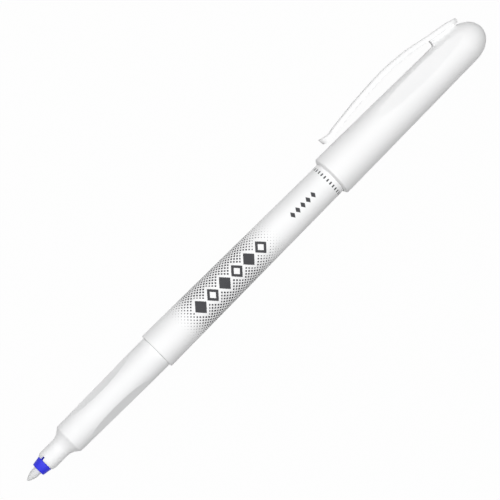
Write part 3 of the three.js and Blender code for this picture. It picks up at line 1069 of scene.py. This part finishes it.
def make_skin():
    group, given, result = new_group("moulded skin", ["Place"], ["Grain", "Waves"])
    place = in_millimetres(given["Place"])
    connect(noise(place, grain_scale, 3), result["Grain"])
    connect(noise(stretched(place, wave_stretch), wave_scale, 1), result["Waves"])
    return group


def make_wear():
    group, given, result = new_group("handling wear", ["Place"], ["Hairlines", "Smudges"])
    place = in_millimetres(given["Place"])
    streaks = noise(stretched(place, hairline_stretch), 1.0, 1)
    from_middle = calculate("ABSOLUTE", calculate("SUBTRACT", streaks, 0.5))
    thin = remap(from_middle, 0.0, hairline_width, 1.0, 0.0)
    scratched = remap(noise(place, scratched_scale, 2), 0.5, 0.62)
    connect(calculate("MULTIPLY", thin, scratched), result["Hairlines"])
    connect(remap(noise(place, smudge_scale, 3), 0.46, 0.66), result["Smudges"])
    return group


skin = make_skin()
wear = make_wear()
print("groups:", [group.name for group in bpy.data.node_groups])

# %% [markdown]
# The barrel carries a dark grey print, a plain harlequin pattern: a row of large lozenges, solid and
# outlined by turns, in a field of small lozenges that shrink towards both ends, a row of small ones and
# a ring of short marks near the cap. A lozenge is the easiest shape to draw with nodes: the distance
# along plus the distance round, each as a share of its half size, is less than one inside it.

# %% Print helpers
print_radius = 4.75
print_softness = 0.03


def lozenge(along, across, half_length, half_height):
    """0 at the middle of a lozenge and 1 on its edge."""
    first = calculate("DIVIDE", calculate("ABSOLUTE", along), half_length)
    second = calculate("DIVIDE", calculate("ABSOLUTE", across), half_height)
    return calculate("ADD", first, second)


def below(value, limit, softness=print_softness):
    """1 where a value is below a limit, with a soft edge."""
    return remap(calculate("SUBTRACT", limit, value), -softness, softness)


def repeated(value, pitch):
    """Distance from the middle of the nearest repeat of a pitch."""
    shifted = calculate("ADD", value, pitch / 2)
    return calculate("SUBTRACT", calculate("FLOORED_MODULO", shifted, pitch), pitch / 2)


def between(value, low, high):
    """1 between two limits."""
    above = calculate("GREATER_THAN", value, low)
    return calculate("MULTIPLY", above, calculate("LESS_THAN", value, high))


print("the print runs round", round(2 * math.pi * print_radius, 2), "mm")

# %% [markdown]
# With these helpers each part of the print is a short function. It takes the distance along the pen and
# the distance round it in millimetres, and gives the ink, from 0 to 1. The large lozenges also give the
# clear room round them, which the field of small ones leaves open.

# %% Print group
large_start = 57.0
large_pitch = 4.1
large_count = 6
large_half_length = 1.85
large_half_height = 2.05
large_room = 1.45
outline_share = 0.52
field_start = 50.0
field_end = 88.0
field_rise = 9
field_fall = 14
field_largest = 0.62
field_pitch = 1.05
field_columns = 28
field_softness = 0.08
row_start = 90.6
row_pitch = 1.75
row_count = 5
row_half_length = 0.62
row_half_height = 0.95
ring_place = 102.6
ring_marks = 28
ring_half_length = 0.4
ring_half_height = 0.2


def large_lozenges(along, across):
    """The row of large lozenges, and the clear room that they keep in the field."""
    from_first = calculate("SUBTRACT", along, large_start + large_pitch / 2)
    edge = lozenge(repeated(from_first, large_pitch), across, large_half_length, large_half_height)
    number = calculate("ROUND", calculate("DIVIDE", from_first, large_pitch))
    odd = calculate("FLOORED_MODULO", number, 2.0)
    hole = calculate("MULTIPLY", below(edge, outline_share), odd)
    in_row = between(along, large_start, large_start + large_count * large_pitch)
    mark = calculate("MULTIPLY", calculate("SUBTRACT", below(edge, 1.0), hole), in_row)
    room = calculate("MULTIPLY", calculate("LESS_THAN", edge, large_room), in_row)
    return mark, room


def small_field(along, across):
    """Small lozenges in two interleaved grids all round the barrel, shrinking towards both ends."""
    rise = remap(along, field_start, field_start + field_rise, 0.0, field_largest)
    fall = remap(along, field_end - field_fall, field_end, 1.0, 0.0)
    size = calculate("MULTIPLY", rise, fall)
    marks = []
    around_pitch = 2 * math.pi * print_radius / field_columns
    for shift in (0.0, 0.5):
        nearest_along = repeated(calculate("ADD", along, shift * field_pitch), field_pitch)
        nearest_across = repeated(calculate("ADD", across, shift * around_pitch), around_pitch)
        edge = lozenge(nearest_along, nearest_across, field_pitch / 2, around_pitch / 2)
        marks.append(remap(calculate("SUBTRACT", size, edge), 0.0, field_softness))
    return calculate("MAXIMUM", *marks)


def small_row(along, across):
    from_first = calculate("SUBTRACT", along, row_start)
    edge = lozenge(repeated(from_first, row_pitch), across, row_half_length, row_half_height)
    in_row = between(from_first, -row_pitch / 2, (row_count - 0.5) * row_pitch)
    return calculate("MULTIPLY", below(edge, 1.0, 2 * print_softness), in_row)


def ring_of_marks(along, across):
    pitch = 2 * math.pi * print_radius / ring_marks
    from_ring = calculate("ABSOLUTE", calculate("SUBTRACT", along, ring_place))
    from_mark = calculate("ABSOLUTE", repeated(across, pitch))
    return calculate("MULTIPLY", below(from_ring, ring_half_length), below(from_mark, ring_half_height))


def make_print():
    group, given, result = new_group("barrel print", ["Along", "Around"], ["Ink"])
    along = given["Along"]
    across = calculate("MULTIPLY", given["Around"], print_radius)
    large, room = large_lozenges(along, across)
    field = calculate("MULTIPLY", small_field(along, across), calculate("SUBTRACT", 1.0, room))
    ink = calculate("MAXIMUM", large, field)
    for part in (small_row, ring_of_marks):
        ink = calculate("MAXIMUM", ink, part(along, across))
    connect(ink, result["Ink"])
    return group


barrel_print = make_print()
print("print nodes:", len(barrel_print.nodes))

# %% [markdown]
# White pen plastic is a semi-matt polypropylene. Its colour is a slightly warm or cool white that stays
# below full white, and its gloss wanders a little with grain, smudges and scratches. One function builds
# it for all the white pieces, because they differ only in shade, gloss and how worn they are.

# %% White plastics
ink_colour = (0.048, 0.048, 0.053, 1)
deeper_share = 0.985
skin_height = 0.012 * MM


def new_material(name):
    """A material, its shader and the place on the object."""
    material = bpy.data.materials.new(name)
    material.use_nodes = True
    tree = material.node_tree
    place = add_node(tree, "ShaderNodeTexCoord", {}).outputs["Object"]
    return material, tree.nodes["Principled BSDF"], place


def raised(height, distance):
    """A surface normal bent by a height that reaches this distance, in metres."""
    node = add_node(height.id_data, "ShaderNodeBump", {"Height": height, "Distance": distance})
    return node.outputs["Normal"]


def with_share(total, mask, share):
    """A value to which a share of a mask is added."""
    return calculate("MULTIPLY_ADD", mask, share, total)


def plastic(name, colour, roughness, wear_share=1.0, printed=False, specular=0.17):
    material, shader, place = new_material(name)
    surface = use_group(skin, Place=place)
    marks = use_group(wear, Place=place)
    deeper = (*(value * deeper_share for value in colour[:3]), 1)
    base = mixed(remap(surface["Waves"], 0.3, 0.7), colour, deeper)
    gloss = with_share(roughness - 0.04, surface["Grain"], 0.08)
    gloss = with_share(gloss, marks["Smudges"], 0.07 * wear_share)
    gloss = with_share(gloss, marks["Hairlines"], 0.15 * wear_share)
    height = calculate("MULTIPLY", surface["Grain"], 0.22)
    height = with_share(height, surface["Waves"], 1.6)
    height = with_share(height, marks["Hairlines"], -0.25 * wear_share)
    if printed:
        pen_place = use_group(pen_coordinates, Place=place)
        ink = use_group(barrel_print, Along=pen_place["Along"], Around=pen_place["Around"])["Ink"]
        base = mixed(ink, base, ink_colour)
        gloss = with_share(gloss, ink, 0.1)
        height = with_share(height, ink, 0.4)
    fill(shader, {"Base Color": base, "Roughness": gloss, "Specular IOR Level": specular})
    connect(raised(height, skin_height), shader.inputs["Normal"])
    return material


grip_plastic = plastic("grip plastic", (0.895, 0.898, 0.902, 1), 0.42)
barrel_plastic = plastic("barrel plastic", (0.896, 0.898, 0.901, 1), 0.4, printed=True)
cap_plastic = plastic("cap plastic", (0.897, 0.898, 0.9, 1), 0.38)
liner_plastic = plastic("liner plastic", (0.8, 0.805, 0.8, 1), 0.45, wear_share=0.3)
print("plastics:", [m.name for m in (grip_plastic, barrel_plastic, cap_plastic, liner_plastic)])

# %% [markdown]
# The blue holder is the same kind of plastic with a strong pigment, and a little glossier. The same
# function makes it, so that its grain and its fine wear match those of the white pieces beside it.

# %% Blue plastic
blue_plastic = plastic("blue plastic", (0.031, 0.036, 0.73, 1), 0.4, specular=0.3)
print(blue_plastic.name, "nodes:", len(blue_plastic.node_tree.nodes))

# %% [markdown]
# The nib is a bundle of fibres, bonded and ground. Up close it has fine strands along the pen and tiny
# pores. Noise that is stretched along the axis gives the strands, and a finer one gives the pores.

# %% Fibre materials
strand_stretch = 300
pore_scale = 9000


def fibre(name, colour, darker, strand_scale, depth):
    material, shader, place = new_material(name)
    strands = noise(stretched(place, (strand_stretch, strand_scale, strand_scale)), 1.0, 4)
    pores = noise(place, pore_scale, 2)
    base = mixed(remap(strands, 0.35, 0.65), darker, colour)
    gloss = remap(pores, 0.3, 0.7, 0.95, 0.8)
    fill(shader, {"Base Color": base, "Roughness": gloss, "Specular IOR Level": 0.25})
    connect(raised(with_share(strands, pores, 0.5), depth), shader.inputs["Normal"])
    return material


nib_fibre = fibre("nib fibre", (0.75, 0.755, 0.75, 1), (0.69, 0.695, 0.7, 1), 9000, 0.004 * MM)
reservoir_fibre = fibre("reservoir fibre", (0.86, 0.86, 0.83, 1), (0.74, 0.74, 0.7, 1), 5000, 0.06 * MM)
print("fibres:", nib_fibre.name, "and", reservoir_fibre.name)

# %% [markdown]
# The reservoir's film is a thin clear plastic with a slight haze, tight round the fibre core.

# %% Film
def film_material():
    material, shader, place = new_material("film")
    surface = use_group(skin, Place=place)
    gloss = remap(surface["Grain"], 0.3, 0.7, 0.12, 0.3)
    fill(shader, {"Base Color": (0.85, 0.87, 0.88, 1), "Roughness": gloss})
    fill(shader, {"Transmission Weight": 0.8, "IOR": 1.45})
    connect(raised(surface["Waves"], 0.03 * MM), shader.inputs["Normal"])
    return material


film = film_material()
print("clear plastic:", film.name)

# %% [markdown]
# Now the pieces take their finishes, and the new nib, holder, grip section, barrel, cap and inner cap are
# tied to the bodies that carry them. The clip bends: its web stays on the cap and its strip follows the
# clip's own body, but here it is tied to no body, and only its place is baked into its mesh.

# %% Finishes and bodies
def give_finish(piece, material):
    piece.data.materials.clear()
    piece.data.materials.append(material)


for piece, material, slot, node in (
    (nib, nib_fibre, "nib_fibre", "nib"),
    (nib_holder, blue_plastic, "blue_plastic", "nib_holder"),
    (grip_section, grip_plastic, "grip_plastic", "grip_section"),
    (barrel, barrel_plastic, "barrel_plastic", "barrel"),
    (cap, cap_plastic, "cap_plastic", "cap_shell"),
    (clip, cap_plastic, "cap_plastic", "clip"),
    (inner_cap, liner_plastic, "liner_plastic", "inner_cap"),
):
    give_finish(piece, material)
    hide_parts(node)
give_finish(frame["nodes"]["reservoir_core"], reservoir_fibre)
give_finish(frame["nodes"]["reservoir_film"], film)

for piece in (nib, nib_holder, grip_section, barrel):
    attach(piece, "pen")
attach(inner_cap, "cap_liner")
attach(cap, "cap")
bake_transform(clip)

# %% [markdown]
# The camera has the photograph's view. It faces the side of the pen that lies 87 degrees round from the
# clip, leans a little towards the nib's end, and is rolled so that the pen runs from the lower left to
# the upper right.

# %% Camera
camera_distance = 0.561
camera_lens = 165.6
sensor_width = 36
lean = math.radians(4.36)
roll = math.radians(45.005)
aim_x = 77.57
aim_across = 1.35

pen_direction = Vector((1, 0, 0))
facing = Vector((0, math.sin(facing_angle), math.cos(facing_angle)))
towards_camera = facing * math.cos(lean) - pen_direction * math.sin(lean)
along_picture = (pen_direction - towards_camera * pen_direction.dot(towards_camera)).normalized()
across_picture = towards_camera.cross(along_picture)
aim = Vector((nib_tip + aim_x * MM, 0, axis_height)) + across_picture * aim_across * MM
picture_right = along_picture * math.cos(roll) - across_picture * math.sin(roll)
picture_up = along_picture * math.sin(roll) + across_picture * math.cos(roll)


def look(piece, right, up, back, distance):
    """Turns a camera or lamp so that it looks at the aim, from a distance in the back direction."""
    place = aim + back * distance
    rows = [(right[i], up[i], back[i], place[i]) for i in range(3)]
    piece.matrix_world = Matrix([*rows, (0, 0, 0, 1)])


bpy.ops.object.camera_add()
camera = bpy.context.object
camera.data.lens = camera_lens
camera.data.sensor_width = sensor_width
camera.data.clip_start = 0.01
look(camera, picture_right, picture_up, towards_camera, camera_distance)
bpy.context.scene.camera = camera
print("camera at", [round(value, 3) for value in camera.location])

# %% [markdown]
# The light is that of a white studio tent, with the broad lamp on the camera's side, leaning a little
# towards the cap's end. It is long across the pen, so that its light reaches round the sides, and short
# along it, and the pale floor throws some of it back. Colours then render about as they are written. The
# floor and the world are white to the camera, and the floor keeps a faint shadow.

# %% Light and floor
lamp_distance = 1.2
lamp_length = 0.55
lamp_width = 3.4
lamp_power = 29.9
lamp_lean = math.radians(3.5)
ambient_level = 0.02
floor_size = 3
floor_shades = ((0.42, 0.42, 0.42, 1), (0.46, 0.46, 0.46, 1))
floor_white = 0.98

lamp_direction = (towards_camera + along_picture * math.tan(lamp_lean)).normalized()
lamp_right = across_picture.cross(lamp_direction).normalized()
bpy.ops.object.light_add(type="AREA")
key_lamp = bpy.context.object
key_lamp.data.shape = "RECTANGLE"
key_lamp.data.size = lamp_length
key_lamp.data.size_y = lamp_width
key_lamp.data.energy = lamp_power
look(key_lamp, lamp_right, lamp_direction.cross(lamp_right), lamp_direction, lamp_distance)
print("lamp at", [round(value, 3) for value in key_lamp.location])


def seen_rays(tree):
    """1 for rays that show a backdrop: to the camera, and in reflections and through clear things."""
    path = add_node(tree, "ShaderNodeLightPath", {}).outputs
    seen = calculate("MAXIMUM", path["Is Camera Ray"], path["Is Glossy Ray"])
    return calculate("MAXIMUM", seen, path["Is Transmission Ray"])


def light_world():
    world = bpy.data.worlds.new("studio tent")
    world.use_nodes = True
    strength = remap(seen_rays(world.node_tree), 0, 1, ambient_level, 1.0, "LINEAR")
    fill(world.node_tree.nodes["Background"], {"Color": (1, 1, 1, 1), "Strength": strength})
    bpy.context.scene.world = world


def floor_material():
    material, shader, place = new_material("pale floor")
    tree = material.node_tree
    base = mixed(noise(place, 60, 4), *floor_shades)
    fill(shader, {"Base Color": base, "Roughness": 0.9, "Specular IOR Level": 0.1})
    glow = add_node(tree, "ShaderNodeEmission", {"Strength": 1.0})
    share = calculate("MULTIPLY", seen_rays(tree), floor_white)
    inputs = {"Fac": share, 1: shader.outputs["BSDF"], 2: glow.outputs["Emission"]}
    blend = add_node(tree, "ShaderNodeMixShader", inputs)
    connect(blend.outputs["Shader"], tree.nodes["Material Output"].inputs["Surface"])
    return material


light_world()
deselect_all()
bpy.ops.mesh.primitive_plane_add(size=floor_size, location=(0, 0, 0))
floor = bpy.context.object
floor.name = "floor"
floor.data.materials.append(floor_material())
bpy.context.scene.view_settings.view_transform = "Standard"
